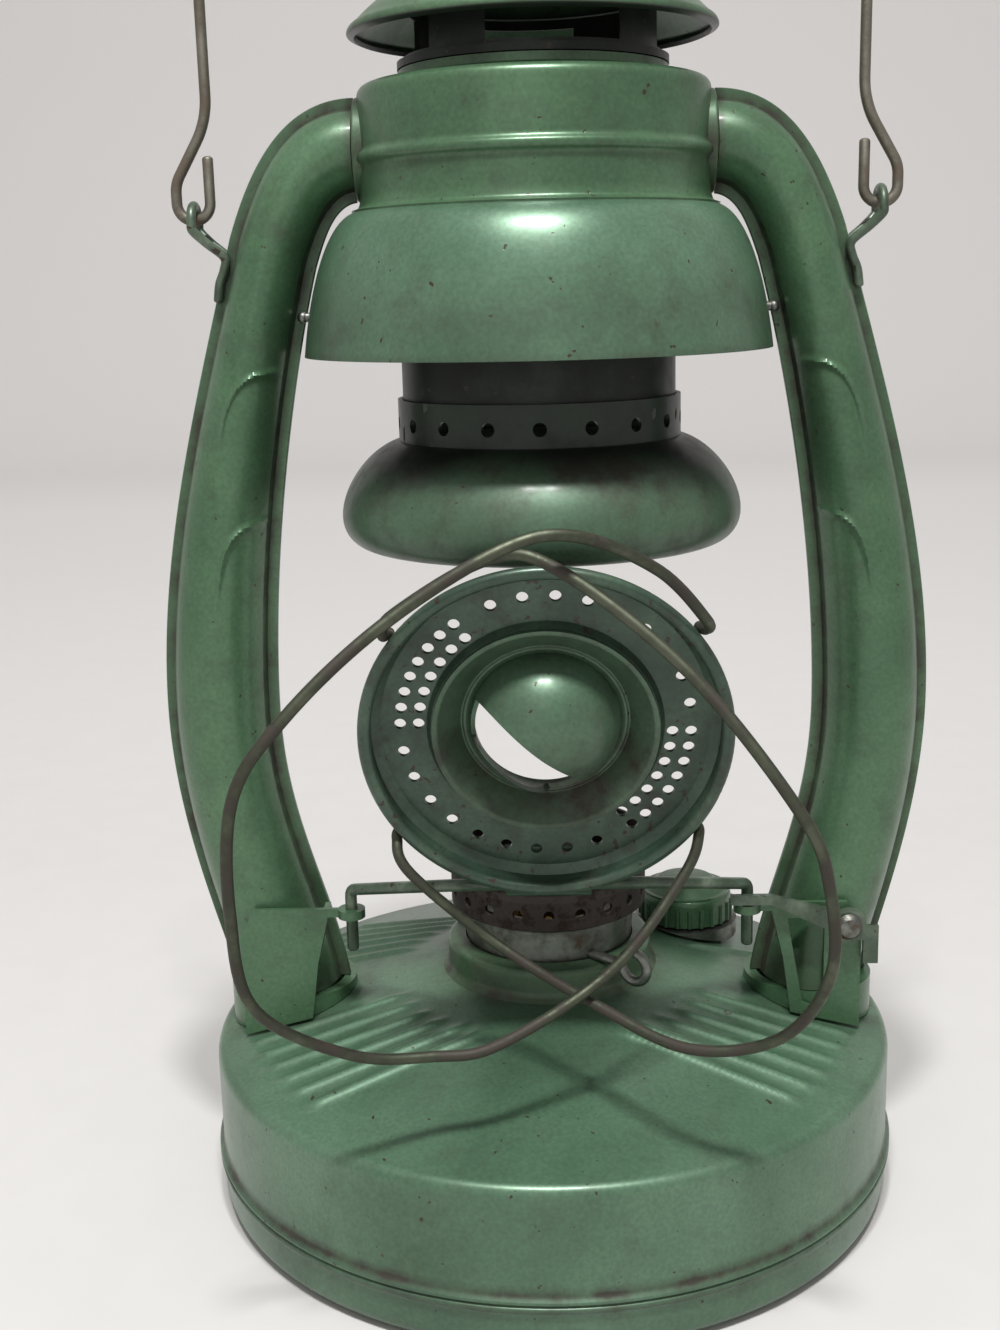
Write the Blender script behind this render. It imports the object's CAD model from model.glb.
import math

import bmesh
import bpy
import numpy as np
from mathutils import Matrix


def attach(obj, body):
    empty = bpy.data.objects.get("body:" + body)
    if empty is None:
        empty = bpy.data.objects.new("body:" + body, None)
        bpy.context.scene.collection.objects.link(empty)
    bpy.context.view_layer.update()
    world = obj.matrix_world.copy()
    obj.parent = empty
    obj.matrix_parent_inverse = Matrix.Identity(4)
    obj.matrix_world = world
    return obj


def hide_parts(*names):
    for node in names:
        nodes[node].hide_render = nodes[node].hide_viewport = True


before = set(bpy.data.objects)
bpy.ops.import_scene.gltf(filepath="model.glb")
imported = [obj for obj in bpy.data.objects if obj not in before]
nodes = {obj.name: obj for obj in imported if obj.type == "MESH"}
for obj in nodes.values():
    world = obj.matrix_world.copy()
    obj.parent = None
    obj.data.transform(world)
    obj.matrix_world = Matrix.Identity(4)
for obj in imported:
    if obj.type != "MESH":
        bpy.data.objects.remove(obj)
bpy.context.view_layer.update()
mm = 0.001  # sizes are in millimetres, apart from those of the room and the lamps, which are in metres
print("frame:", len(nodes), "solids")


# view

viewer = {
    "place": (-0.5, -317.2, 183.8),
    "down": 13.27, "turn": -1.53, "roll": 1.45,  # degrees
    "lens": 43.31, "sensor": 36, "nearClip": 10,
}


def setCamera(c):
    # the camera's three axes: right and up are rolled about the line of sight
    down, turn, roll = (math.radians(c[k]) for k in ("down", "turn", "roll"))
    forward = np.array([math.cos(down) * math.sin(turn), math.cos(down) * math.cos(turn), -math.sin(down)])
    level = np.array([math.cos(turn), -math.sin(turn), 0.0])
    above = np.cross(level, forward)
    right = math.cos(roll) * level - math.sin(roll) * above
    up = math.sin(roll) * level + math.cos(roll) * above
    data = bpy.data.cameras.new("photoCamera")
    data.lens, data.sensor_width, data.clip_start = c["lens"], c["sensor"], c["nearClip"] * mm
    camera = bpy.data.objects.new("photoCamera", data)
    bpy.context.scene.collection.objects.link(camera)
    axes = Matrix(np.column_stack([right, up, -forward]).tolist()).to_4x4()
    camera.matrix_world = Matrix.Translation(np.array(c["place"]) * mm) @ axes
    bpy.context.scene.camera = camera


setCamera(viewer)


# colours and nodes

def linear(hexText):
    # sRGB hex to the linear numbers a shader takes
    c = np.array([int(hexText[i:i + 2], 16) for i in (1, 3, 5)]) / 255
    c = np.where(c <= 0.04045, c / 12.92, ((c + 0.055) / 1.055) ** 2.4)
    return (*c.tolist(), 1.0)


def addNode(tree, kind, inputs=None, **settings):
    # one node with its settings; an input is a socket to join or a plain value
    node = tree.nodes.new(kind)
    for key, value in settings.items():
        setattr(node, key, value)
    for key, value in (inputs or {}).items():
        if isinstance(value, bpy.types.NodeSocket):
            tree.links.new(value, node.inputs[key])
        else:
            node.inputs[key].default_value = value
    return node


def newMaterial(name, **constants):
    # shader with its fixed numbers, and the place on a piece that its patterns read; a pattern's scale is
    # 1000 over its size in millimetres
    material = bpy.data.materials.new(name)
    material.use_nodes = True
    tree = material.node_tree
    tree.nodes.clear()
    shader = addNode(tree, "ShaderNodeBsdfPrincipled", constants)
    addNode(tree, "ShaderNodeOutputMaterial", {"Surface": shader.outputs[0]})
    place = addNode(tree, "ShaderNodeTexCoord").outputs["Object"]
    return material, tree, shader, place


# Gloss enamel on pressed steel: a metallic sage green with slow mottling, fine flake in the paint, brown dirt
# where the grime attribute and the stains are, black smoke where the soot attribute is, and small chips down
# to rust. The flake is drawn coarser than the real one, so that it shows.
enamelLook = {
    "deep": "#3c5a40", "green": "#466649", "pale": "#527254",
    "dirt": "#35342a", "rust": "#382e25", "soot": "#0e130e",
    "mottle": 34.0, "flake": 0.8, "stain": 9.0, "chip": 2.0, "peel": 1.6, "relief": 0.06,  # mm
    "stains": 0.5, "chips": 0.712,  # strength of the stains, and the noise level past which paint is off
    "sparkle": (0.88, 1.1), "gloss": (0.36, 0.62), "metallic": 0.35, "coat": 0.22, "coatRoughness": 0.18,
}
# The same paint faded on the fount, the canopy, the globe cap and the burner cone.
fadedLook = dict(enamelLook, deep="#43604a", green="#4e6d55", pale="#5b7a62", stains=0.36)
# The same paint rubbed thin on wire and small fittings.
wornLook = dict(
    enamelLook, deep="#3c4a3c", green="#4c5c4c", pale="#687465", dirt="#2e2c24",
    stains=0.6, chips=0.66, mottle=7.0, gloss=(0.38, 0.66), coat=0.1)
# The same paint blackened by years of hot smoke.
sootLook = dict(
    enamelLook, deep="#10160f", green="#161d17", pale="#222b22", dirt="#12120d",
    stains=0.6, chips=0.69, mottle=6.0, gloss=(0.4, 0.65), coat=0.0)
# The plate's paint: dull green with rust specks.
plateLook = dict(
    enamelLook, deep="#2f4235", green="#3a4e40", pale="#485d4c",
    stains=0.85, chips=0.655, chip=2.2, mottle=11.0, stain=6.0, gloss=(0.34, 0.66), coat=0.15)


def paintedSteel(name, look):
    material, tree, shader, place = newMaterial(name, **{
        "Metallic": look["metallic"], "Coat Weight": look["coat"], "Coat Roughness": look["coatRoughness"]})
    mottle = addNode(tree, "ShaderNodeTexNoise", {
        "Vector": place, "Scale": 1000 / look["mottle"], "Detail": 4.0})
    tone = addNode(tree, "ShaderNodeValToRGB", {"Fac": mottle.outputs["Fac"]})
    for stop, at, colour in zip((0, 1), (0.32, 0.68), ("deep", "pale")):
        tone.color_ramp.elements[stop].position = at
        tone.color_ramp.elements[stop].color = linear(look[colour])
    tone.color_ramp.elements.new(0.5).color = linear(look["green"])
    flake = addNode(tree, "ShaderNodeTexNoise", {
        "Vector": place, "Scale": 1000 / look["flake"], "Detail": 1.0})
    sparkle = addNode(tree, "ShaderNodeMapRange", {
        "Value": flake.outputs["Fac"], "From Min": 0.3, "From Max": 0.7,
        "To Min": look["sparkle"][0], "To Max": look["sparkle"][1]})
    flaked = addNode(tree, "ShaderNodeVectorMath", {
        0: tone.outputs["Color"], "Scale": sparkle.outputs["Result"]}, operation="SCALE")
    stain = addNode(tree, "ShaderNodeTexNoise", {
        "Vector": place, "Scale": 1000 / look["stain"], "Detail": 6.0, "Roughness": 0.65})
    spread = addNode(tree, "ShaderNodeMapRange", {
        "Value": stain.outputs["Fac"], "From Min": 0.5, "From Max": 0.8, "To Max": look["stains"]})
    grime = addNode(tree, "ShaderNodeAttribute", attribute_name="grime")
    broken = addNode(tree, "ShaderNodeMapRange", {
        "Value": stain.outputs["Fac"], "From Min": 0.3, "From Max": 0.7, "To Min": 0.35, "To Max": 1.25})
    gathered = addNode(tree, "ShaderNodeMath", {
        0: grime.outputs["Fac"], 1: broken.outputs["Result"], 2: spread.outputs["Result"]},
        operation="MULTIPLY_ADD", use_clamp=True)
    dirty = addNode(tree, "ShaderNodeMix", {
        0: gathered.outputs[0], 6: flaked.outputs[0], 7: linear(look["dirt"])}, data_type="RGBA")
    soot = addNode(tree, "ShaderNodeAttribute", attribute_name="soot")
    smoked = addNode(tree, "ShaderNodeMix", {
        0: soot.outputs["Fac"], 6: dirty.outputs[2], 7: linear(look["soot"])}, data_type="RGBA")
    chip = addNode(tree, "ShaderNodeTexNoise", {
        "Vector": place, "Scale": 1000 / look["chip"], "Detail": 2.0, "Roughness": 0.6})
    chipped = addNode(tree, "ShaderNodeMapRange", {
        "Value": chip.outputs["Fac"], "From Min": look["chips"], "From Max": look["chips"] + 0.025})
    colour = addNode(tree, "ShaderNodeMix", {
        0: chipped.outputs["Result"], 6: smoked.outputs[2], 7: linear(look["rust"])}, data_type="RGBA")
    dull = addNode(tree, "ShaderNodeMapRange", {
        "Value": gathered.outputs[0], "To Min": look["gloss"][0], "To Max": look["gloss"][1]})
    peel = addNode(tree, "ShaderNodeTexNoise", {
        "Vector": place, "Scale": 1000 / look["peel"], "Detail": 2.0})
    relief = addNode(tree, "ShaderNodeMath", {
        0: chipped.outputs["Result"], 1: -1.5, 2: peel.outputs["Fac"]}, operation="MULTIPLY_ADD")
    bump = addNode(tree, "ShaderNodeBump", {
        "Height": relief.outputs[0], "Strength": 0.25, "Distance": look["relief"] * mm})
    tree.links.new(colour.outputs[2], shader.inputs["Base Color"])
    tree.links.new(dull.outputs["Result"], shader.inputs["Roughness"])
    tree.links.new(bump.outputs["Normal"], shader.inputs["Normal"])
    return material


# Tinned steel: grey and fairly bright, clouded by tarnish.
tinLook = {
    "bright": "#8c8e88", "dull": "#565852", "rust": "#4f3a2a",
    "cloud": 5.0, "pit": 1.2, "relief": 0.12,  # mm
    "rusty": 0.62, "gloss": (0.28, 0.6),
}
# Rusted steel of the burner's gallery: dark, a little metal left on the ridges.
rustLook = dict(
    tinLook, bright="#342c27", dull="#191615", rust="#211915",
    cloud=3.5, pit=0.9, rusty=0.46, gloss=(0.5, 0.85))
# Old galvanised wire: grey zinc that has gone brown in patches.
wireLook = dict(
    tinLook, bright="#5c6052", dull="#3d4237", rust="#352f27",
    cloud=9.0, pit=0.8, rusty=0.55, gloss=(0.42, 0.72))
# Bail: the same wire rubbed bright by hands.
bailLook = dict(wireLook, bright="#8b877c", dull="#615f55", rust="#574b3f")
# Brass that heat has browned.
brassLook = dict(
    tinLook, bright="#9c8048", dull="#5f4c2c", rust="#33281a",
    cloud=4.0, pit=0.8, gloss=(0.32, 0.6))


def bareMetal(name, look):
    material, tree, shader, place = newMaterial(name)
    cloud = addNode(tree, "ShaderNodeTexNoise", {
        "Vector": place, "Scale": 1000 / look["cloud"], "Detail": 6.0, "Roughness": 0.6})
    tone = addNode(tree, "ShaderNodeValToRGB", {"Fac": cloud.outputs["Fac"]})
    for stop, at, colour in zip((0, 1), (0.38, 0.62), ("bright", "dull")):
        tone.color_ramp.elements[stop].position = at
        tone.color_ramp.elements[stop].color = linear(look[colour])
    pit = addNode(tree, "ShaderNodeTexNoise", {
        "Vector": place, "Scale": 1000 / look["pit"], "Detail": 3.0, "Roughness": 0.7})
    patch = addNode(tree, "ShaderNodeMath", {
        0: pit.outputs["Fac"], 1: 0.35, 2: cloud.outputs["Fac"]}, operation="MULTIPLY_ADD")
    rusted = addNode(tree, "ShaderNodeMapRange", {
        "Value": patch.outputs[0], "From Min": look["rusty"] + 0.1, "From Max": look["rusty"] + 0.22})
    colour = addNode(tree, "ShaderNodeMix", {
        0: rusted.outputs["Result"], 6: tone.outputs["Color"], 7: linear(look["rust"])}, data_type="RGBA")
    metal = addNode(tree, "ShaderNodeMapRange", {
        "Value": rusted.outputs["Result"], "To Min": 1.0, "To Max": 0.1})
    dull = addNode(tree, "ShaderNodeMapRange", {
        "Value": patch.outputs[0], "From Min": 0.4, "From Max": 0.9,
        "To Min": look["gloss"][0], "To Max": look["gloss"][1]})
    bump = addNode(tree, "ShaderNodeBump", {
        "Height": patch.outputs[0], "Strength": 0.4, "Distance": look["relief"] * mm})
    tree.links.new(colour.outputs[2], shader.inputs["Base Color"])
    tree.links.new(metal.outputs["Result"], shader.inputs["Metallic"])
    tree.links.new(dull.outputs["Result"], shader.inputs["Roughness"])
    tree.links.new(bump.outputs["Normal"], shader.inputs["Normal"])
    return material


# Cotton braid of the wick: cream, dull and soft.
cottonLook = {"light": "#cbbf9f", "dark": "#a89877", "band": 1.1, "relief": 0.2, "waveTurn": 6.28}
# Cork rubber of the gasket: nearly black, matt.
rubberLook = dict(cottonLook, light="#2f2c28", dark="#1f1d1a", band=1.5)


def fibre(name, look):
    material, tree, shader, place = newMaterial(name, Roughness=0.85)
    braid = addNode(tree, "ShaderNodeTexWave", {
        "Vector": place, "Scale": 1000 / look["band"] / look["waveTurn"], "Distortion": 1.5, "Detail": 2.0},
        bands_direction="DIAGONAL")
    colour = addNode(tree, "ShaderNodeMix", {
        0: braid.outputs["Fac"], 6: linear(look["light"]), 7: linear(look["dark"])}, data_type="RGBA")
    bump = addNode(tree, "ShaderNodeBump", {
        "Height": braid.outputs["Fac"], "Strength": 0.5, "Distance": look["relief"] * mm})
    tree.links.new(colour.outputs[2], shader.inputs["Base Color"])
    tree.links.new(bump.outputs["Normal"], shader.inputs["Normal"])
    return material


finishes = {
    "green_enamel": paintedSteel("green_enamel_steel", enamelLook),
    "faded_enamel": paintedSteel("faded_enamel_steel", fadedLook),
    "worn_enamel": paintedSteel("worn_enamel_steel", wornLook),
    "sooted_enamel": paintedSteel("sooted_enamel_steel", sootLook),
    "plate_enamel": paintedSteel("plate_enamel_steel", plateLook),
    "tinned_steel": bareMetal("tinned_steel", tinLook),
    "rusted_steel": bareMetal("rusted_steel", rustLook),
    "weathered_wire": bareMetal("weathered_steel_wire", wireLook),
    "bail_wire": bareMetal("rubbed_steel_wire", bailLook),
    "burner_brass": bareMetal("tarnished_brass", brassLook),
    "cotton_wick": fibre("cotton_braid", cottonLook),
    "cork_rubber": fibre("cork_rubber", rubberLook),
}
print("finishes:", len(finishes))


# shapes

mesher = {"mergeGap": 0.002, "smallestEdge": 0.001, "creaseAngle": 35}  # mm and degrees


def unit(v):
    return v / np.linalg.norm(v, axis=-1, keepdims=True)


def cubic(a, b, c, d, steps):
    # cubic curve from a to d, with b and c as its handles
    t = np.linspace(0, 1, steps)[:, None]
    a, b, c, d = (np.array(q, float) for q in (a, b, c, d))
    return (1 - t) ** 3 * a + 3 * (1 - t) ** 2 * t * b + 3 * (1 - t) * t ** 2 * c + t ** 3 * d


def throughPoints(points, steps):
    # smooth line through the points: a cubic between neighbours, its slopes from the points either side
    p = np.array(points, float)
    p = np.concatenate([p[:1], p, p[-1:]])
    a, b, c, d = (q[:, None] for q in (p[:-3], p[1:-2], p[2:-1], p[3:]))
    t = np.linspace(0, 1, steps, endpoint=False)[None, :, None]
    squared, cubed = a - 2.5 * b + 2 * c - d / 2, 1.5 * (b - c) + (d - a) / 2
    line = b + t * (c - a) / 2 + t ** 2 * squared + t ** 3 * cubed
    return np.concatenate([line.reshape(-1, p.shape[1]), p[-1:]])


def rounded(points, radius, steps=7, most=0.48):
    # line with its inner corners rounded: a parabola between points set back along both sides of a corner, by
    # the radius or at most by a share of the shorter side
    p = np.array(points, float)
    before, after = p[1:-1] - p[:-2], p[2:] - p[1:-1]
    lengths = np.stack([np.linalg.norm(before, axis=1), np.linalg.norm(after, axis=1)])
    back = np.minimum(radius, most * lengths.min(0))[:, None]
    start, end = p[1:-1] - unit(before) * back, p[1:-1] + unit(after) * back
    t = np.linspace(0, 1, steps)[None, :, None]
    bend = (1 - t) ** 2 * start[:, None] + 2 * t * (1 - t) * p[1:-1, None] + t ** 2 * end[:, None]
    return np.concatenate([p[:1], bend.reshape(-1, p.shape[1]), p[-1:]])


def sheetOutline(line, thick):
    # closed outline of a sheet: the line, and back along the same line moved left by the thickness
    along = unit(np.gradient(line, axis=0))
    inside = line + np.stack([-along[:, 1], along[:, 0]], 1) * thick
    inside[:, 0] = np.maximum(inside[:, 0], 0)
    return np.concatenate([line, inside[::-1]])


def turned(outline, columns):
    # outline in radius and height turned about the upright axis; rows go round, columns follow the outline
    a = np.linspace(0, 2 * np.pi, columns, endpoint=False)[:, None]
    r, z = outline[None, :, 0], outline[None, :, 1]
    return np.stack([r * np.cos(a), r * np.sin(a), z + 0 * a], -1)


def wireSkin(path, radius, sides=14, bulge=0.6):
    # circle carried along a path, square to it; both ends are rounded off and stand out by the bulge
    p = np.array(path, float)
    along = unit(np.gradient(p, axis=0))
    across = np.linalg.svd(p - p.mean(0))[2][-1]  # square to the wire's own plane
    n = unit(across - (along @ across)[:, None] * along)
    k = np.radians([90, 60, 30])
    first = p[0] - along[0] * (bulge * radius * np.sin(k))[:, None]
    last = p[-1] + along[-1] * (bulge * radius * np.sin(k[::-1]))[:, None]
    size = np.concatenate([np.cos(k), np.ones(len(p)), np.cos(k[::-1])]) * radius
    p = np.concatenate([first, p, last])
    n = np.concatenate([n[:1].repeat(3, 0), n, n[-1:].repeat(3, 0)])
    along = np.concatenate([along[:1].repeat(3, 0), along, along[-1:].repeat(3, 0)])
    a = np.linspace(0, 2 * np.pi, sides, endpoint=False)[None, :, None]
    ring = np.cos(a) * n[:, None] + np.sin(a) * np.cross(along, n)[:, None]
    return p[:, None] + size[:, None, None] * ring


def gridFaces(rows, columns, wrapRows, wrapColumns):
    # four-sided faces between neighbouring rows and columns of points
    down, across = np.arange(rows - (not wrapRows)), np.arange(columns - (not wrapColumns))
    i, j = np.meshgrid(down, across, indexing="ij")
    k, m = (i + 1) % rows, (j + 1) % columns
    return np.stack([i * columns + j, k * columns + j, k * columns + m, i * columns + m], -1).reshape(-1, 4)


def addPiece(name, grids, body, slotName, replaced, grime=None, soot=None, finish=None):
    # each grid is (points, rows closed, columns closed); doubles are merged and faces turned outwards
    points = np.concatenate([g.reshape(-1, 3) for g, _, _ in grids])
    starts = np.cumsum([0] + [g.shape[0] * g.shape[1] for g, _, _ in grids])
    faces = np.concatenate([gridFaces(*g.shape[:2], u, v) + s for (g, u, v), s in zip(grids, starts)])
    mesh = bpy.data.meshes.new(name)
    mesh.vertices.add(len(points))
    mesh.vertices.foreach_set("co", (points * mm).astype(np.float32).ravel())
    mesh.loops.add(faces.size)
    mesh.loops.foreach_set("vertex_index", faces.ravel().astype(np.int32))
    mesh.polygons.add(len(faces))
    mesh.polygons.foreach_set("loop_start", np.arange(0, faces.size, 4, dtype=np.int32))
    mesh.update(calc_edges=True)
    for label, cover in (("grime", grime), ("soot", soot)):
        level = np.zeros(len(points)) if cover is None else np.clip(cover(*points.T), 0, 1)
        mesh.attributes.new(label, "FLOAT", "POINT").data.foreach_set("value", level.astype(np.float32))
    shell = bmesh.new()
    shell.from_mesh(mesh)
    bmesh.ops.remove_doubles(shell, verts=shell.verts, dist=mesher["mergeGap"] * mm)
    bmesh.ops.dissolve_degenerate(shell, edges=shell.edges, dist=mesher["smallestEdge"] * mm)
    bmesh.ops.recalc_face_normals(shell, faces=shell.faces)
    shell.to_mesh(mesh)
    shell.free()
    mesh.shade_smooth()
    mesh.set_sharp_from_angle(angle=math.radians(mesher["creaseAngle"]))
    mesh.materials.append(finishes[finish or slotName])
    piece = bpy.data.objects.new(name, mesh)
    bpy.context.scene.collection.objects.link(piece)
    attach(piece, body)
    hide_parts(*replaced)


def near(value, at, width):
    # 1 at a place and falling off smoothly to both sides
    return np.exp(-((value - at) / width) ** 2)


# fount: one pressing with a ribbed top, closed by a pan

fount = {
    "radius": 70.4, "seamZ": 10.2, "bead": 0.9, "shoulderZ": 33.0, "shoulderRound": 2.5, "shoulderTurn": 76,
    "topZ": 45.0, "topFrom": 66.6, "liningFrom": 67.0, "collarR": 20.8, "holeR": 16.0, "wall": 0.8,
    "ribs": 6, "ribHalf": 1.1, "ribRise": 0.85, "ribFades": (4, 3),
    "ribIn": (30.8, 22.0, 46.0), "ribOut": (64.5, 16.0, 27.0),  # rib ends: reach, first bearing, fan
    "filler": (31.3, 27.2), "fillerR": 13.0, "feetX": 54, "groove": (38.7, 54.9), "grooveStep": 2,
    "columns": 720, "panColumns": 192,
}


def fountTopZ(f, r):
    # height of the fount top: a straight fall from the collar to the shoulder
    run = f["radius"] - f["shoulderRound"] - f["collarR"]
    return f["topZ"] - (r - f["collarR"]) * (f["topZ"] - f["shoulderZ"]) / run


def fountRibs(f, x, y):
    # height of the pressed ribs: a smooth ridge across each straight line of a fan, faded at both ends; lines
    # that would meet the filler are left out
    quarter = np.array([(q, s) for q in (0, 180) for s in (-1, 1)])[:, None]
    share = np.linspace(0, 1, f["ribs"])
    ends = []
    for reach, bearing, fan in (f["ribIn"], f["ribOut"]):
        turn = np.radians(quarter[..., 0] + quarter[..., 1] * (bearing + fan * share)).ravel()
        ends.append(reach * np.stack([np.cos(turn), np.sin(turn)], 1))
    start, way, length = ends[0], unit(ends[1] - ends[0]), np.linalg.norm(ends[1] - ends[0], axis=1)
    toFiller = np.array(f["filler"]) - start
    clear = np.abs(way[:, 0] * toFiller[:, 1] - way[:, 1] * toFiller[:, 0]) > f["fillerR"]
    clear |= (toFiller * way).sum(1) < 0
    start, way, length = start[clear], way[clear], length[clear]
    dx, dy = x[..., None] - start[:, 0], y[..., None] - start[:, 1]
    along, aside = dx * way[:, 0] + dy * way[:, 1], dx * way[:, 1] - dy * way[:, 0]
    fadeIn, fadeOut = f["ribFades"]
    faded = np.clip(along / fadeIn, 0, 1) * np.clip((length - along) / fadeOut, 0, 1)
    return f["ribRise"] * (np.exp(-(aside / f["ribHalf"]) ** 2) * faded).max(-1)


def makeFount(f):
    # upper half of the seam, wall, shoulder arc and top as one line turned about the axis, lifted by the ribs
    radius, bead, seamZ, wall = (f[k] for k in ("radius", "bead", "seamZ", "wall"))
    beadTop = seamZ + 2 * bead
    side = rounded([[radius + bead * 0.4, seamZ], [radius + bead, seamZ + 0.5], [radius + bead, seamZ + bead],
                    [radius, beadTop], [radius, beadTop + 2]], 0.8, 5)
    side = np.concatenate([side, [[radius, beadTop + 3.5], [radius, f["shoulderZ"] - 8]]])
    a = np.radians(np.linspace(0, f["shoulderTurn"], 12))
    centre = np.array([radius, f["shoulderZ"]]) - f["shoulderRound"]
    bend = centre + f["shoulderRound"] * np.stack([np.cos(a), np.sin(a)], 1)
    r = np.linspace(f["topFrom"], f["collarR"], 46)
    top = np.stack([r, fountTopZ(f, r)], 1)
    line = np.concatenate([side, bend, top, [[f["holeR"], f["topZ"]]]])
    lining = np.array([[f["holeR"], f["topZ"] - wall], [f["collarR"], f["topZ"] - wall],
                       [f["liningFrom"], fountTopZ(f, f["liningFrom"]) - wall],
                       [radius - wall, f["shoulderZ"] - 3], [radius - wall, seamZ]])
    skin = turned(np.concatenate([line, lining]), f["columns"])
    outside = np.arange(len(line) + len(lining)) < len(line)
    lifted = outside * (skin[..., 2] > f["shoulderZ"] - 1)
    skin[..., 2] += fountRibs(f, skin[..., 0], skin[..., 1]) * lifted

    def grime(x, y, z):
        # round the collar, above the seam, at the tubes' feet, beside the ribs and under the shoulder
        r = np.hypot(x, y)
        inner = radius - 1.4
        feet = near(np.abs(x), f["feetX"], 13) * near(y, 0, 14) * (r < inner)
        return (0.55 * near(r, f["collarR"], 5) * (z > 40) + 0.95 * near(z, beadTop, 0.8) * (r > inner)
                + 0.75 * feet + 0.1 * near(fountRibs(f, x, y), 0.2, 0.15)
                + 0.1 * near(z, 32.6, 0.8) * (r > inner))

    addPiece("fountShell", [(skin, True, True)], "lantern", "green_enamel", ["fount_body"],
             grime=grime, finish="faded_enamel")


def makeFountPan(f):
    # bottom with a pressed groove and the lower half of the seam as one sheet turned about the axis
    radius, bead, seamZ = (f[k] for k in ("radius", "bead", "seamZ"))
    inner, outer = f["groove"]
    step = f["grooveStep"]
    low = rounded([[0, 0], [inner, 0], [inner + step, step], [outer - step, step], [outer, 0],
                   [radius - 2, 0], [radius, 2], [radius, seamZ - 2 * bead], [radius + bead, seamZ - bead],
                   [radius + bead, seamZ - 0.4], [radius + bead * 0.4, seamZ]],
                  [2, 2, 2, 2, 2, 2, 0.8, 0.5, 0.4], 6)
    skin = turned(sheetOutline(low, f["wall"]), f["panColumns"])

    def grime(x, y, z):
        return 0.6 * near(z, seamZ - 0.9, 1.3) + 0.5 * near(z, 0, 2.2)

    addPiece("fountPan", [(skin, True, True)], "lantern", "green_enamel", ["fount_bottom"],
             grime=grime, finish="faded_enamel")


makeFount(fount)
makeFountPan(fount)
print("fount made")


# side tubes: two pressed halves each, folded together at their seams

tube = {
    "outer": [[(34, 219.2), (47, 219.2), (54, 208.2), (58.9, 194)],
              [(58.9, 194), (66.5, 166), (77.4, 134), (77.4, 101)],
              [(77.4, 101), (77.4, 78), (70.5, 57), (66.5, 42)]],
    "inner": [[(34, 200.2), (38.5, 199.7), (40.5, 194), (42.4, 188.5)],
              [(42.4, 188.5), (47.5, 170), (54.4, 134), (54.4, 101)],
              [(54.4, 101), (54.4, 76), (45.5, 62), (42.5, 42)]],
    "flange": 2.0, "edge": 0.15, "wall": 0.8, "topDepth": 8.4, "footDepth": 12.0, "crownX": 34, "footZ": 42,
    "lines": [[(46.5, 168.0), (50.5, 168.9), (54, 168.5), (56.6, 167), (58.6, 164.6), (60.1, 161.3),
               (61.3, 157), (62.3, 152), (63.6, 145)],
              [(52.6, 140.2), (55, 140.1), (57.6, 139.3), (59.8, 137.6), (61.5, 135), (62.8, 131),
               (63.7, 126.5), (64.4, 121)]],
    "lineHalf": 0.5, "lineRise": 0.7, "lineFade": 14, "lineDepth": 3,
    "pressedGrid": (150, 96), "plainGrid": (50, 40),
}


def tubeEdge(pieces, steps):
    # one seam line from its cubics, end to end
    return np.concatenate([cubic(*q, steps)[k > 0:] for k, q in enumerate(pieces)])


def tubeHalf(t, steps, across, pressed):
    # a half ellipse with a flat flange at each side, carried between the outer and the inner seam line
    outer, inner = tubeEdge(t["outer"], steps), tubeEdge(t["inner"], steps)
    middle, half = (outer + inner) / 2, np.linalg.norm(outer - inner, axis=1, keepdims=True) / 2
    out = (outer - inner) / (2 * half)
    depth = np.linspace(t["topDepth"], t["footDepth"], len(outer))[:, None]
    body, wall, edge = half - t["flange"], t["wall"], t["edge"]
    a = np.linspace(np.arcsin(wall / depth), np.pi - np.arcsin(wall / depth), across)[..., 0].T
    side, face = body * np.cos(a), -depth * np.sin(a)
    b = np.linspace(0, np.pi, across)[None]
    sideIn, faceIn = (body - wall) * np.cos(b), -(depth - wall) * np.sin(b)
    flat = np.ones_like(half)
    fold = [-0.6 * wall * flat, -wall * flat]
    side = np.concatenate([half, half - edge, side, edge - half, -half], 1)
    face = np.concatenate(fold + [face] + fold[::-1], 1)
    sideIn = np.concatenate([half, body, sideIn, -body, -half], 1)
    faceIn = np.concatenate([0 * flat, 0 * flat, faceIn, 0 * flat, 0 * flat], 1)
    x = middle[:, :1] + side * out[:, :1]
    z = middle[:, 1:] + side * out[:, 1:]
    skin = np.stack([x, face, z], -1)
    lining = np.stack([middle[:, :1] + sideIn * out[:, :1], faceIn, middle[:, 1:] + sideIn * out[:, 1:]], -1)
    if pressed:  # raised lines: a ridge over the distance from each drawn line
        rise = 0 * x
        for line in t["lines"]:
            p = throughPoints(line, 10)
            gap = np.sqrt(((x[..., None] - p[:, 0]) ** 2 + (z[..., None] - p[:, 1]) ** 2).min(-1))
            fade = np.clip((z - p[-1, 1]) / t["lineFade"], 0, 1)
            rise = np.maximum(rise, np.exp(-(gap / t["lineHalf"]) ** 2) * fade)
        skin[..., 1] -= t["lineRise"] * rise * (face < -t["lineDepth"])
    return skin, lining


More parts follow.
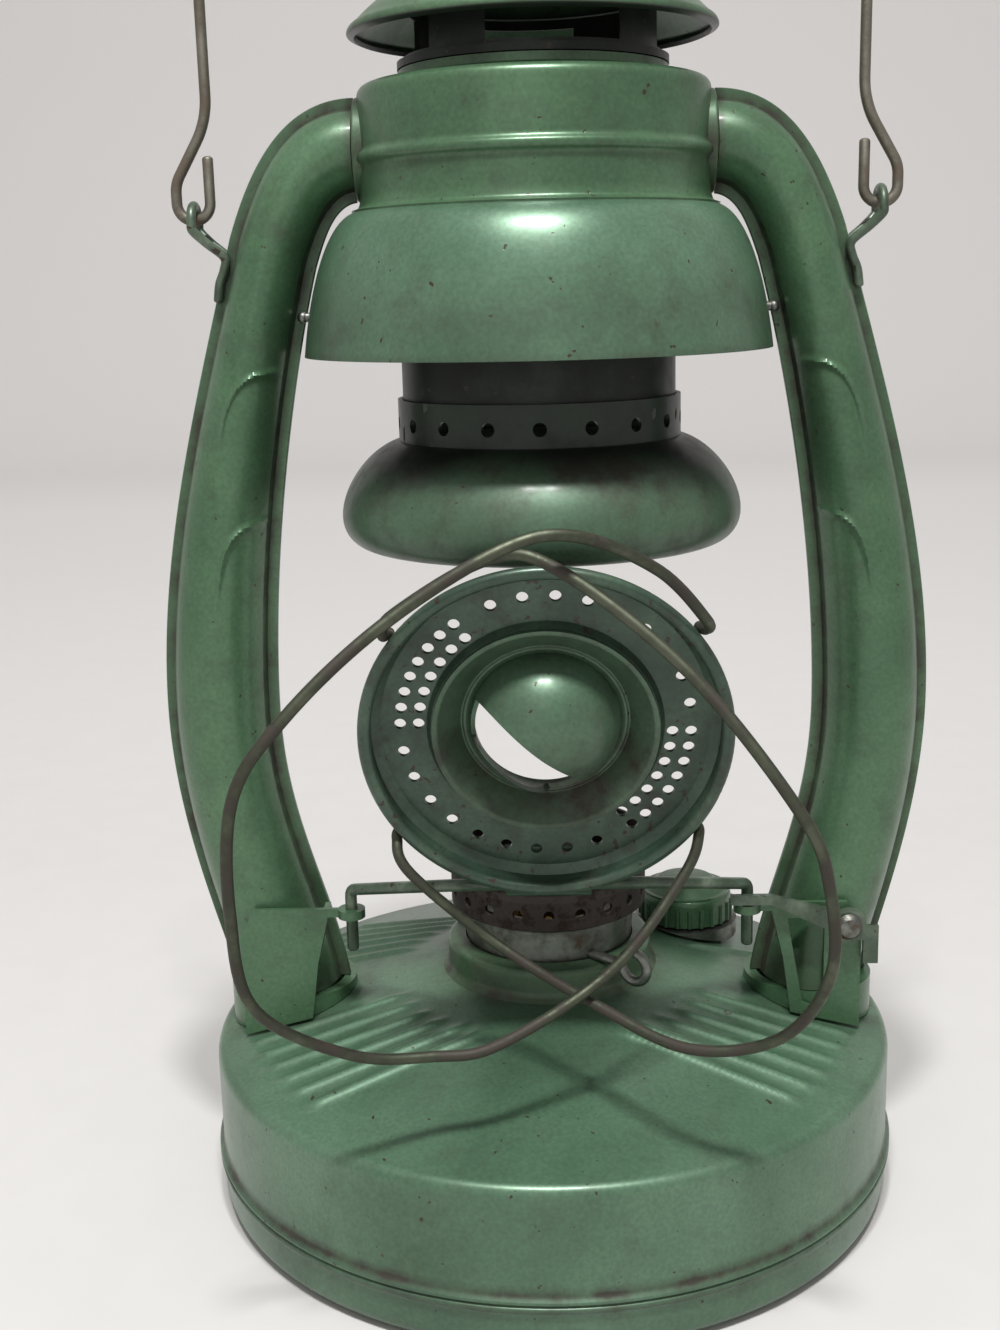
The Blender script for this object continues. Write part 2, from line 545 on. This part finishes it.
def makeTube(t, name, mirrorX, mirrorY, replaced):
    # the half mirrored to its side, its skin joined to its lining and both ends closed between them
    pressed = not mirrorY  # the back halves are out of sight and stay plain
    skin, lining = tubeHalf(t, *t["pressedGrid" if pressed else "plainGrid"], pressed)
    flip = np.array([-1 if mirrorX else 1, -1 if mirrorY else 1, 1])
    skin, lining = skin * flip, lining * flip
    grids = [(np.concatenate([skin, lining[:, ::-1]], 1), False, True),
             (np.stack([skin[0], lining[0]]), False, False), (np.stack([skin[-1], lining[-1]]), False, False)]
    seams = [tubeEdge(t[k], 60) for k in ("outer", "inner")]

    def grime(x, y, z):
        # in the fold beside the flanges, at the foot, at the crown and on the flanges' edges
        gaps = [((np.abs(x)[:, None] - s[:, 0]) ** 2 + (z[:, None] - s[:, 1]) ** 2).min(1) for s in seams]
        gap = np.sqrt(np.min(gaps, 0))
        fold = near(gap, t["flange"] + 0.3, 1.0) * (np.abs(y) < 3.5)
        ends = 0.6 * near(z, t["footZ"], 6) + 0.7 * near(np.abs(x), t["crownX"], 1.2)
        return 0.9 * fold + ends + 0.25 * near(gap, 0, 0.5)

    addPiece(name, grids, "lantern", "green_enamel", replaced, grime=grime)


for side in ("left", "right"):
    for face in ("front", "back"):
        makeTube(tube, side + "Tube" + face.title(), side == "left", face == "back", [f"{side}_tube_{face}"])
print("side tubes made")


# crown, canopy, hood and globe cap, all turned sheet

crown = {
    "z": 209.7, "radius": 33.2, "topZ": 220.7, "baseZ": 198.4, "footR": 35.0, "boreR": 25.2, "collarUp": 2.6,
    "beadZ": 207.7, "beadOut": 0.95, "neckR": 9.5, "neckBore": 6.7, "neckFrom": 29.5, "neckEnd": 33.8,
    "wall": 0.8, "columns": 192, "neckColumns": 64,
}


def makeCrown(c):
    # flared foot, wall with a bead, top and upright collar as one sheet turned about the axis
    radius, bead, base, top, bore = (c[k] for k in ("radius", "beadZ", "baseZ", "topZ", "boreR"))
    beadR = radius + c["beadOut"]
    line = rounded([[c["footR"], base], [radius + 0.5, base + 0.4], [radius, base + 2], [radius, bead - 1.4],
                    [beadR, bead - 0.5], [beadR, bead + 0.5], [radius, bead + 1.4], [radius, top],
                    [bore + 1, top + 0.4], [bore, top + 0.9], [bore, top + c["collarUp"]]],
                   [0.6, 0.8, 0.7, 0.5, 0.5, 0.7, 2.2, 0.6, 0.6], 8)
    body = turned(sheetOutline(line, c["wall"]), c["columns"])
    # necks: a short round pipe at each side, its end turned in
    ring = rounded([[c["neckFrom"], c["neckR"]], [c["neckEnd"], c["neckR"]], [c["neckEnd"], c["neckBore"]],
                    [c["neckFrom"], c["neckBore"]]], 0.5, 6)
    a = np.linspace(0, 2 * np.pi, c["neckColumns"], endpoint=False)[:, None]
    along, reach = ring[None, :, 0], ring[None, :, 1]
    neck = np.stack([along + 0 * a, reach * np.cos(a), c["z"] + reach * np.sin(a)], -1)
    grids = [(body, True, True), (neck, True, True), (neck * np.array([-1, 1, 1]), True, True)]

    def grime(x, y, z):
        # where the tubes join, on the collar and under the bead
        joint = near(np.hypot(y, z - c["z"]), c["neckR"] + 0.8, 1.3) * (np.abs(x) > 28)
        return 0.8 * joint + 0.25 * near(z, z.max(), 1.2) + 0.2 * near(z, 206, 0.6)

    addPiece("crownCup", grids, "lantern", "green_enamel", ["crown_cup"], grime=grime)


canopy = {
    "rimR": 45.15, "rimZ": 171.7, "topR": 33.8, "topZ": 198.3, "boreR": 27.0, "wall": 0.8, "columns": 256,
    "lowPull": (-1.5, 12.8), "highPull": (6.0, -0.5),  # the curve's handles, from the rim and from the top
}


def makeCanopy(c):
    # bell: a cubic from the rim to the top, then flat in to the bore, as one sheet turned about the axis
    low, high = np.array([c["rimR"], c["rimZ"]]), np.array([c["topR"], c["topZ"]])
    bell = cubic(low, low + c["lowPull"], high + c["highPull"], high, 60)
    flat = rounded([high, [c["topR"] - 2, c["topZ"]], [c["boreR"], c["topZ"]]], 0.5, 4)
    outline = sheetOutline(np.concatenate([bell, flat[1:]]), c["wall"])

    def grime(x, y, z):
        return 0.3 * near(z, c["rimZ"] + 7, 6) + 0.4 * near(z, c["rimZ"], 1) + 0.3 * near(z, c["topZ"], 0.5)

    addPiece("canopyBell", [(turned(outline, c["columns"]), True, True)], "lantern", "green_enamel",
             ["canopy_bell"], grime=grime, finish="faded_enamel")


hood = {
    "rimR": 34.7, "rimZ": 229.1, "height": 15.0, "flueR": 24.0, "seatZ": 235.6, "seatH": 2.4, "seatWall": 1.6,
    "wall": 0.8, "columns": 192, "seatColumns": 96,
    "smokeLine": [(0, 243.5), (12, 242), (20, 238.5), (28, 234), (32, 231.6), (34, 229.8)],  # radius, height
}


def makeHood(h):
    # rolled rim and a cubic dome as one sheet turned about the axis, and the ring that seats it on the flue
    radius, z, top = h["rimR"], h["rimZ"], h["rimZ"] + h["height"]
    start = [radius - 1.6, z + 2.6]
    rim = rounded([[radius - 1.5, z], [radius, z + 0.6], [radius - 0.4, z + 1.8], start], 0.7, 6)[:-1]
    dome = cubic(start, [radius - 8, z + 0.6 * h["height"]], [radius * 0.45, top], [0, top], 30)
    skin = turned(sheetOutline(np.concatenate([rim, dome]), h["wall"]), h["columns"])
    flue, low, high = h["flueR"], h["seatZ"], h["seatZ"] + h["seatH"]
    seat = np.array([[flue, low], [flue, high], [flue - h["seatWall"], high], [flue - h["seatWall"], low]])
    grids = [(skin, True, True), (turned(seat, h["seatColumns"]), True, True)]

    def soot(x, y, z):
        # below the smoke line, which parts the underside from the top
        return 0.95 * (z < np.interp(np.hypot(x, y), *zip(*h["smokeLine"])))

    def grime(x, y, z):
        return 0.3 * near(z, h["rimZ"] + 1, 1.2)

    addPiece("hoodCap", grids, "chimney", "green_enamel", ["hood_cap"], grime=grime, soot=soot)


globeCap = {
    "radius": 39.3, "z": 140.7, "height": 14.6, "under": 5.2, "lip": 9.0, "neckR": 27.6, "neckH": 7.9,
    "holes": 18, "holeR": 1.3, "holeShare": 0.43, "wall": 0.8, "scorch": 6.0,
    "columns": 216, "tilePoints": 40, "tileRings": 8,
}


def makeGlobeCap(c):
    # bulb: a cubic from the lip to the widest ring and one up to the neck, as one sheet turned about the axis
    radius, neckR, middleZ, height, under = (c[k] for k in ("radius", "neckR", "z", "height", "under"))
    top = middleZ + height
    lower = cubic([radius - c["lip"], middleZ - under], [radius - 0.45 * c["lip"], middleZ - 1.42 * under],
                  [radius, middleZ - 0.87 * under], [radius, middleZ], 24)
    upper = cubic([radius, middleZ], [radius, middleZ + 0.4 * height],
                  [neckR + 0.41 * height, middleZ + 0.905 * height], [neckR, top], 40)
    bulb = turned(sheetOutline(np.concatenate([lower, upper[1:]]), c["wall"]), c["columns"])
    # neck: one tile for each air hole; a point goes straight from the hole's edge to the tile's edge
    corner = np.linspace(0, 4, c["tilePoints"], endpoint=False)
    along = np.interp(corner, [0, 1, 2, 3, 4], [1, 1, -1, -1, 1])
    rise = np.interp(corner, [0, 1, 2, 3, 4], [0, 1, 1, 0, 0])
    holeZ = top + c["holeShare"] * c["neckH"]
    wide = np.pi / c["holes"]
    edge = np.stack([along * wide * neckR, top + rise * c["neckH"] - holeZ], 1)
    turn = np.arctan2(edge[:, 1], edge[:, 0])
    hole = c["holeR"] * np.stack([np.cos(turn), np.sin(turn)], 1)
    share = (np.linspace(0, 1, c["tileRings"]) ** 1.4)[:, None, None]
    flat = (1 - share) * hole + share * edge
    grids = [(bulb, True, True)]
    for k in range(c["holes"]):
        bearing = 2 * np.pi * (k + 0.5) / c["holes"] + flat[..., 0] / neckR
        skins = [np.stack([r * np.cos(bearing), r * np.sin(bearing), holeZ + flat[..., 1]], -1)
                 for r in (neckR, neckR - c["wall"])]
        grids.append((np.concatenate([skins[0], skins[1][::-1]]), True, True))

    def grime(x, y, z):
        # all over, more in patches below the neck, and at the lip
        patches = 0.7 + 0.3 * np.sin(5 * np.arctan2(y, x) + 1)
        return 0.42 + 0.5 * near(z, top - 2, 4) * patches + 0.3 * near(z, middleZ - under, 1.5)

    def soot(x, y, z):
        # on the neck, and down the bulb's upper side as far as a wavy edge
        bearing = np.arctan2(y, x)
        edge = top - c["scorch"] + 1.2 * np.sin(3 * bearing) + 0.8 * np.sin(7 * bearing + 2)
        return np.where(np.hypot(x, y) < neckR + 0.5, 0.85, 0.97 * np.clip((z - edge) / 5, 0, 1))

    addPiece("globeCap", grids, "chimney", "green_enamel", ["globe_cap"],
             grime=grime, soot=soot, finish="faded_enamel")


makeCrown(crown)
makeCanopy(canopy)
makeHood(hood)
makeGlobeCap(globeCap)
print("crown, canopy, hood and globe cap made")


# tipping plate: burner cone and guard wires, drawn in the plate's closed place and carried to the tipped one

plate = {"tilt": 104.5, "hingeReach": 34.0, "hingeZ": 74.6, "hingeDrop": 4.2, "wickBearing": -40.0}


def tipped(points, p):
    # turned about the hinge line by the tilt
    a = math.radians(p["tilt"])
    y, z = points[..., 1] + p["hingeReach"], points[..., 2] + p["hingeDrop"]
    return np.stack([points[..., 0], y * math.cos(a) - z * math.sin(a) - p["hingeReach"],
                     y * math.sin(a) + z * math.cos(a) + p["hingeZ"]], -1)


cone = {
    "lipR": 20.2, "lipTop": -1.8, "wallR": 19.4, "depth": 7.0, "domeR": 13.5, "domeH": 12.5, "bead": 0.5,
    "slotLength": 26.0, "slotWidth": 8.6, "slotAside": 5.8, "slotMost": 0.985, "wall": 0.8,
    "rays": 240, "rings": 30, "wellColumns": 128,
}


def makeCone(c, p):
    # dome: along each ray from the slot's middle a point goes from the slot's edge to the dome's foot, its
    # height that of an ellipse over the foot; the slot's edge is a superellipse of power 4
    a = np.linspace(0, 2 * np.pi, c["rays"], endpoint=False)
    reach = ((2 * np.cos(a) / c["slotLength"]) ** 4 + (2 * np.sin(a) / c["slotWidth"]) ** 4) ** -0.25
    turn = math.radians(p["wickBearing"])
    ray = np.stack([np.cos(a + turn), np.sin(a + turn)], 1)
    middle = c["slotAside"] * np.array([math.sin(turn), -math.cos(turn)])
    share = np.sin(np.linspace(0, np.pi / 2, c["rings"]))[:, None]
    skins = []
    for cut in (0.0, c["wall"]):
        footR, high = c["domeR"] - cut, c["domeH"] - cut
        ahead = ray @ middle
        outer = np.sqrt(ahead ** 2 + footR ** 2 - middle @ middle) - ahead
        inner = np.minimum(reach, c["slotMost"] * outer)
        flat = middle + ((1 - share) * inner + share * outer)[..., None] * ray
        rise = high * np.sqrt(np.clip(1 - (flat ** 2).sum(-1) / footR ** 2, 0, 1)) - c["depth"]
        skins.append(np.concatenate([flat, rise[..., None]], -1))
    dome = np.concatenate([skins[0], skins[1][::-1]])
    # well: lip, sloped wall and a bead round the dome's foot as one sheet turned about the dome's axis
    floor, foot, lip = -c["depth"], c["domeR"], c["lipTop"]
    beadZ = floor + c["bead"]
    line = rounded([[c["lipR"], lip], [c["wallR"], lip], [foot + 1.6, floor + 0.3], [foot + 1.1, beadZ + 0.3],
                    [foot + 0.4, beadZ], [foot - 0.4, floor]], [0.7, 0.5, 0.4, 0.4], 8)
    well = turned(sheetOutline(line, c["wall"]), c["wellColumns"])
    hub = tipped(np.array([0.0, 0.0, floor]), p)

    def grime(x, y, z):
        # all over, more round the dome's foot and in the lower half
        away = np.sqrt((x - hub[0]) ** 2 + (y - hub[1]) ** 2 + (z - hub[2]) ** 2)
        return 0.26 + 0.34 * near(away, foot + 4, 3) + 0.45 * np.clip((hub[2] - z) / 8, 0, 1)

    grids = [(tipped(dome, p), True, True), (tipped(well, p), True, True)]
    addPiece("burnerCone", grids, "plate", "worn_enamel", ["burner_cone"], grime=grime, finish="faded_enamel")


guard = {
    "radius": 1.0, "height": 40.0,
    "hookBearing": 37.0, "hookR": 34.4, "hookZ": -0.5, "under": 33.2, "below": -3.0,
    # bends: across, up the plate, and the share of the height that they stand off it
    "left": [(27, 24.5, 0.09), (18.5, 36.5, 0.25), (5, 46, 0.44), (-6.5, 45.5, 0.53), (-24.5, 36.5, 0.7),
             (-39, 25.5, 0.9), (-47.5, 13.5, 0.99), (-50, -8, 1), (-48.5, -29, 0.93), (-34.5, -43.5, 0.79),
             (-21, -48, 0.68), (-9, -47.5, 0.62), (11, -39.5, 0.37), (24.5, -27, 0.09)],
    "right": [(-25, 26.5, 0.08), (-8.5, 40, 0.3), (2.5, 40, 0.42), (22, 27, 0.67), (38, 9, 0.95), (43, -3, 1),
              (44.5, -21, 1), (38, -38, 0.88), (23.5, -44.5, 0.75), (8.5, -45, 0.45), (-9, -41, 0.14),
              (-25, -26, 0.08)],
}


def makeGuard(g, p, side, sign):
    # round wire through its bends, hooked under the plate's rim at both ends
    c, s = math.cos(math.radians(g["hookBearing"])), math.sin(math.radians(g["hookBearing"]))
    hook = ((g["under"], g["below"]), (g["hookR"], g["hookZ"]))
    ends = [(sign * c * r, s * r, z) for r, z in hook]
    bends = [(x, y, h * g["height"]) for x, y, h in g[side]]
    line = throughPoints(ends + bends + [(x, -y, z) for x, y, z in ends[::-1]], 10)
    skin = wireSkin(tipped(line, p), g["radius"])
    addPiece(side + "GuardWire", [(skin, False, True)], "plate", "weathered_wire", [side + "_guard_wire"])


makeCone(cone, plate)
makeGuard(guard, plate, "left", 1)
makeGuard(guard, plate, "right", -1)
print("cone and guard made")


# bent wires: lift frame, bail and its ears

lift = {
    "radius": 1.2, "bar": (17, -34, 74.6), "shoulder": (40, -13.2, 66.0), "foot": (40, -13.2, 53.5),
    "barBend": 4.0, "shoulderBend": 1.4,
}


def makeLift(w):
    # round wire up one leg, over the bar and down the other leg, its four bends rounded
    half = [w["foot"], w["shoulder"], w["bar"]]
    bends = [w["shoulderBend"], w["barBend"], w["barBend"], w["shoulderBend"]]
    line = rounded([(-x, y, z) for x, y, z in half] + half[::-1], bends, 10)
    addPiece("liftWire", [(wireSkin(line, w["radius"]), False, True)], "lift", "worn_enamel", ["lift_frame"])


bail = {
    "radius": 1.05, "sides": 16, "armX": 61.9, "earX": 65.4, "z": 197.7, "loopR": 3.2, "loopH": 8.0,
    "crankH": 3.6, "kinkZ": 215.9, "bend": 4.5, "archZ": 255.7,
}


def makeBail(b):
    # hook end, half turn under the ear, crank, straight arm and half round arch, and the same mirrored
    a = np.linspace(np.pi, 2 * np.pi, 25)
    loopR, loopTop = b["loopR"], b["z"] + b["loopR"]
    curl = np.stack([b["earX"] + loopR * np.cos(a), b["z"] + loopR * (1 + np.sin(a))], 1)
    crank = rounded([curl[-1], (b["earX"] + loopR, loopTop + b["crankH"]), (b["armX"], b["kinkZ"]),
                     (b["armX"], b["archZ"])], b["bend"], 9)
    a = np.linspace(0, np.pi, 81)
    arch = np.stack([b["armX"] * np.cos(a), b["archZ"] + b["armX"] * np.sin(a)], 1)
    half = np.concatenate([[(b["earX"] - loopR, loopTop + b["loopH"])], curl, crank[1:-1]])
    line = np.concatenate([half, arch, (half * [-1, 1])[::-1]])
    line = np.stack([line[:, 0], 0 * line[:, 0], line[:, 1]], 1)
    skin = wireSkin(line, b["radius"], b["sides"])
    addPiece("bailWire", [(skin, False, True)], "bail", "weathered_wire", ["bail_wire"], finish="bail_wire")


ear = {
    "radius": 0.9, "x": 65.4, "half": 3.6, "topZ": 200.45, "bailZ": 197.7, "seamY": 1.9,
    "foot": [(-15, -0.6), (-12, -0.2), (-9.4, -0.5), (-7, 0)],  # height from the bail, out from the seam
}


def makeEar(e, t, side, sign):
    # staple: two legs that lie beside the tube's outer seam and a half round top
    edge = tubeEdge(t["outer"], 60)
    foot = np.array(e["foot"])
    x, half, bailZ, archZ = e["x"], e["half"], e["bailZ"], e["topZ"] - e["half"]
    z = bailZ + foot[:, 0]
    leg = np.stack([np.interp(-z, -edge[:, 1], edge[:, 0]) + foot[:, 1], 0 * z + e["seamY"], z], 1)
    rise = [(x - 2.4, (e["seamY"] + half) / 2, bailZ - 4.2), (x - 0.2, half, bailZ - 2), (x, half, archZ)]
    leg = throughPoints(np.concatenate([leg, rise]), 8)
    a = np.radians(np.arange(10, 180, 10))
    top = np.stack([0 * a + x, half * np.cos(a), archZ + half * np.sin(a)], 1)
    line = np.concatenate([leg, top, (leg * [1, -1, 1])[::-1]]) * [sign, 1, 1]
    skin = wireSkin(line, e["radius"])
    addPiece(side + "BailEar", [(skin, False, True)], "lantern", "worn_enamel", [side + "_bail_ear"])


makeLift(lift)
makeBail(bail)
makeEar(ear, tube, "left", -1)
makeEar(ear, tube, "right", 1)
print("wires made")


# burner: a green cup on the fount and a tinned body that stands in it

burner = {
    "cupR": 21.3, "cupLow": 45.0, "cupTop": 51.0, "bodyR": 17.3, "bodyTop": 59.2, "wall": 0.8, "columns": 160,
}


def makeBurner(b):
    # cup and body: each a line with rounded corners, as a sheet turned about the axis
    cupR, low, top, bodyR, rim = (b[k] for k in ("cupR", "cupLow", "cupTop", "bodyR", "bodyTop"))
    cup = rounded([[cupR + 1.2, low - 0.4], [cupR, low + 0.8], [cupR, top], [bodyR + 0.3, top + 0.4]],
                  [0.8, 1.2], 9)
    body = rounded([[bodyR - 1.5, top - 3.2], [bodyR, top - 0.5], [bodyR + 0.5, rim - 0.9],
                    [bodyR + 1.6, rim - 0.1], [bodyR - 4, rim - 0.1]], [1.5, 0.8, 0.4], 7)
    cupSkin, bodySkin = (turned(sheetOutline(line, b["wall"]), b["columns"]) for line in (cup, body))

    def grime(x, y, z):
        return 0.35 + 0.5 * near(z, low, 1.5)

    addPiece("burnerCup", [(cupSkin, True, True)], "lantern", "green_enamel", ["burner_collar"], grime=grime)
    addPiece("burnerBody", [(bodySkin, True, True)], "lantern", "tinned_steel", ["burner_base"])


makeBurner(burner)
print("burner made")


# solids that keep their own shape get their finish

keptFinish = {
    "sooted_enamel": ["chimney_tube"],
    "plate_enamel": ["globe_plate", "plate_hinge"],
    "tinned_steel": ["filler_neck", "canopy_pins", "chimney_clip", "lever_pin", "wick_winder"],
    "worn_enamel": ["lift_lever"],
    "rusted_steel": ["burner_gallery"],
    "burner_brass": ["wick_tube", "winder_wheels"],
    "cotton_wick": ["wick"],
    "cork_rubber": ["filler_gasket"],
    "green_enamel": ["filler_cap", "left_foot", "right_foot", "left_bracket", "right_bracket"],
}
for finish, names in keptFinish.items():
    for name in names:
        nodes[name].data.materials.clear()
        nodes[name].data.materials.append(finishes[finish])
print("kept solids:", sum(len(names) for names in keptFinish.values()))


# room and light, in metres

room = {
    "floor": "#c9c7c5", "fleckTone": "#c4c2c0", "wall": "#ebe9e8", "sky": "#eceae8", "worldLevel": 0.6,
    "fleck": 0.016667, "paleFrom": 0.2, "paleTo": 1.1,  # the fleck is coarser than real paper's
    "back": 1.9, "bendR": 0.5, "half": 3.5, "wallTop": 3.0, "drop": 0.0002,
}


def makeRoom(r):
    # floor that bends up into a wall: straight, a quarter circle and straight again, drawn out sideways
    a = np.radians(np.linspace(0, 90, 24))
    bend = np.stack([r["back"] - r["bendR"] + r["bendR"] * np.sin(a), r["bendR"] * (1 - np.cos(a))], 1)
    line = np.concatenate([[(-r["half"], 0)], bend, [(r["back"], r["wallTop"])]])
    x = np.linspace(-r["half"], r["half"], 2)[:, None]
    y, z = line[None, :, 0], line[None, :, 1]
    points = np.stack([x + 0 * y, y + 0 * x, z + 0 * x - r["drop"]], -1)
    mesh = bpy.data.meshes.new("paperSweep")
    mesh.from_pydata(points.reshape(-1, 3).tolist(), [], gridFaces(*points.shape[:2], False, False).tolist())
    mesh.shade_smooth()
    # Matt paper: nearly even, paler towards the wall so that it stays light where the lamps don't reach.
    material, tree, shader, place = newMaterial("pale_paper", Roughness=0.9)
    fleck = addNode(tree, "ShaderNodeTexNoise", {"Vector": place, "Scale": 1 / r["fleck"], "Detail": 3.0})
    tone = addNode(tree, "ShaderNodeMix", {
        0: fleck.outputs["Fac"], 6: linear(r["floor"]), 7: linear(r["fleckTone"])}, data_type="RGBA")
    parts = addNode(tree, "ShaderNodeSeparateXYZ", {0: place})
    far = addNode(tree, "ShaderNodeMapRange", {
        "Value": parts.outputs["Y"], "From Min": r["paleFrom"], "From Max": r["paleTo"]})
    paper = addNode(tree, "ShaderNodeMix", {
        0: far.outputs["Result"], 6: tone.outputs[2], 7: linear(r["wall"])}, data_type="RGBA")
    tree.links.new(paper.outputs[2], shader.inputs["Base Color"])
    mesh.materials.append(material)
    sweep = bpy.data.objects.new("paperSweep", mesh)
    bpy.context.scene.collection.objects.link(sweep)
    world = bpy.data.worlds.new("paleRoom")
    bpy.context.scene.world = world
    world.use_nodes = True
    world.node_tree.nodes.clear()
    sky = addNode(world.node_tree, "ShaderNodeBackground", {
        "Color": linear(r["sky"]), "Strength": r["worldLevel"]})
    addNode(world.node_tree, "ShaderNodeOutputWorld", {"Surface": sky.outputs[0]})


lamps = {
    "leftKey": {"place": (-0.09, -0.49, 1.30), "aim": (0, 0, 0.13), "size": 0.13, "power": 10.5},
    "rightKey": {"place": (0.09, -0.49, 1.30), "aim": (0, 0, 0.13), "size": 0.13, "power": 10.5},
    "front": {"place": (-0.3, -1.5, 0.7), "aim": (0, 0, 0.13), "size": 1.2, "power": 1.5},
}


def addLamp(name, lamp):
    # round area lamp that looks from its place to its aim
    data = bpy.data.lights.new(name, "AREA")
    data.shape, data.size, data.energy = "DISK", lamp["size"], lamp["power"]
    light = bpy.data.objects.new(name, data)
    bpy.context.scene.collection.objects.link(light)
    back = unit(np.array(lamp["place"], float) - np.array(lamp["aim"], float))
    right = unit(np.cross([0, 0, 1], back))
    axes = np.column_stack([right, np.cross(back, right), back])
    light.matrix_world = Matrix.Translation(lamp["place"]) @ Matrix(axes.tolist()).to_4x4()


makeRoom(room)
for name, lamp in lamps.items():
    addLamp(name + "Lamp", lamp)
bpy.context.scene.view_settings.view_transform = "Standard"
print("room and lamps set")
